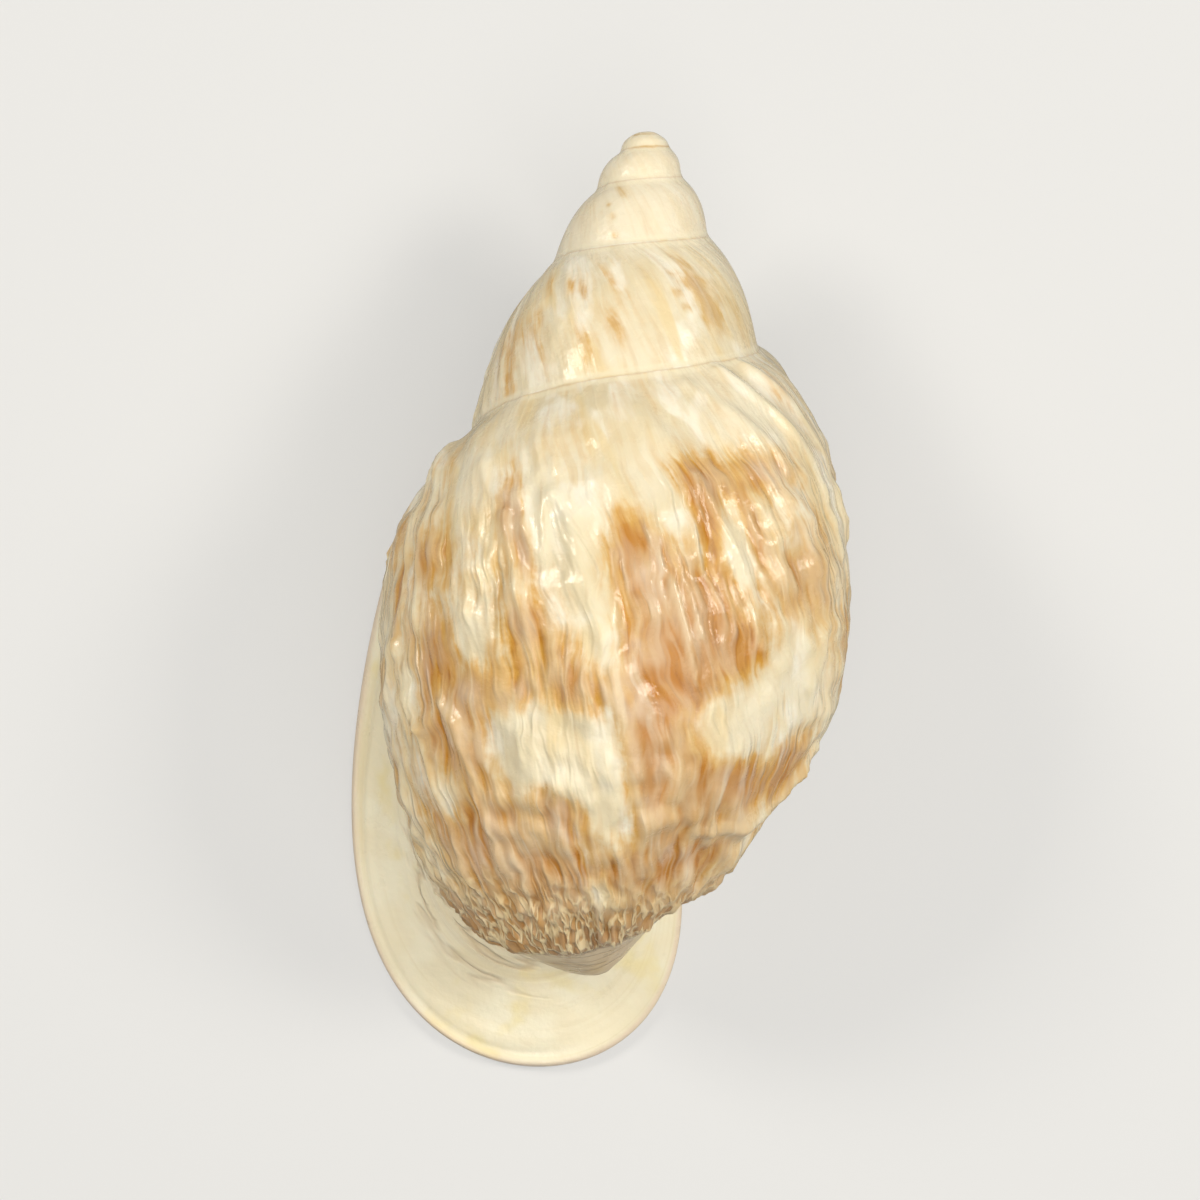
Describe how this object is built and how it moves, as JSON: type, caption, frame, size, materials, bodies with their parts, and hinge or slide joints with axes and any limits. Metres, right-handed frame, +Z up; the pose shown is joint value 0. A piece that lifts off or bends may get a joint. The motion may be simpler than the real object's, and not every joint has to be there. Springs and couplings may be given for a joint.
{
  "type": "land snail shell",
  "caption": "Long-spired, right-handed land snail shell with a wide flared lip, lying on its open mouth with the mottled back up.",
  "frame": {"origin": "centre of the shell's plan at the level of the surface it rests on", "axes": "+Y from the mouth's base to the spire's tip, +X to the right seen from above with the spire away, +Z up"},
  "size_m": [0.0428, 0.0808, 0.0354],
  "materials": {
    "shell": "glossy"
  },
  "bodies": {
    "root": {"shell": "shell"}
  },
  "joints": []
}
